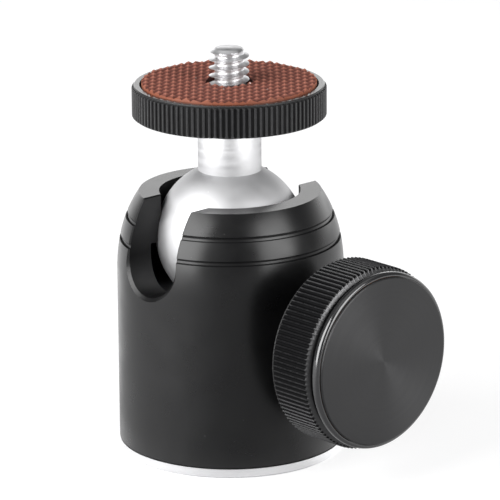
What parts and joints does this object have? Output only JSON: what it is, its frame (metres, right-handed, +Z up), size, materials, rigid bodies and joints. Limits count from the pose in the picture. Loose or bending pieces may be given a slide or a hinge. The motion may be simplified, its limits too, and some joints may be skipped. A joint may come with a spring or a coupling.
{
  "type": "tripod ball head",
  "caption": "Compact ball head: a notched cup holds a ball with stem, knurled platform and camera screw, clamped by a large side knob.",
  "frame": {"origin": "centre of the base's underside, at the mouth of the tripod socket", "axes": "+Z up along the camera screw, +X along the clamp knob, the two drop notches along +Y and -Y"},
  "size_m": [0.0525, 0.036, 0.0649],
  "materials": {
    "housing_black": "satin black anodised",
    "base_bright": "bright turned",
    "ball_satin": "satin blasted",
    "platform_black": "satin black anodised, straight knurl",
    "knob_black": "black anodised, straight knurl",
    "cap_grey": "black anodised, turned face",
    "screw_steel": "bright machined",
    "spring_steel": "plain",
    "dark_steel": "blackened",
    "tip_brass": "machined",
    "seat_polymer": "moulded",
    "washer_nylon": "moulded",
    "pad_rubber": "moulded, fine pyramids",
    "film_clear": "adhesive film"
  },
  "bodies": {
    "housing": {"housing": "housing_black", "base_plate": "base_bright", "base_screws": "dark_steel", "reducer_bush": "screw_steel", "spring_washer": "spring_steel", "seat_spring": "spring_steel"},
    "ball": {"ball_and_stem": "ball_satin"},
    "platform": {"platform_disc": "platform_black", "pad_film": "film_clear", "rubber_pad": "pad_rubber", "camera_screw": "screw_steel"},
    "ball_seat": {"ball_seat": "seat_polymer"},
    "clamp_tip": {"clamp_tip": "tip_brass"},
    "knob": {"clamp_screw": "screw_steel", "stop_clip": "spring_steel", "knob_washer": "washer_nylon", "knob_body": "knob_black", "knob_nut": "screw_steel", "cap_film": "film_clear", "knob_cap": "cap_grey"}
  },
  "joints": [
    {"name": "ball_tilt", "type": "hinge", "parent": "housing", "child": "ball", "pos_m": [0, 0, 0.03465], "axis": [1, 0, 0], "range_deg": [-90, 90]},
    {"name": "platform_turn", "type": "hinge", "parent": "ball", "child": "platform", "pos_m": [0, 0, 0.0541], "axis": [0, 0, 1], "continuous": true},
    {"name": "tip_slide", "type": "slide", "parent": "housing", "child": "clamp_tip", "axis": [1, 0, 0], "range_m": [0, 0.0015]},
    {"name": "knob_turn", "type": "hinge", "parent": "clamp_tip", "child": "knob", "pos_m": [0.0243, 0, 0.0215], "axis": [1, 0, 0], "range_deg": [0, 540]},
    {"name": "seat_lift", "type": "slide", "parent": "housing", "child": "ball_seat", "axis": [0, 0, 1], "range_m": [-0.0002, 0], "deforming": ["seat_spring"]}
  ],
  "couplings": [
    {"joint": "tip_slide", "follows": "knob_turn", "m_per_rad": 0.000159},
    {"joint": "seat_lift", "follows": "knob_turn", "m_per_rad": -0.0000212}
  ]
}
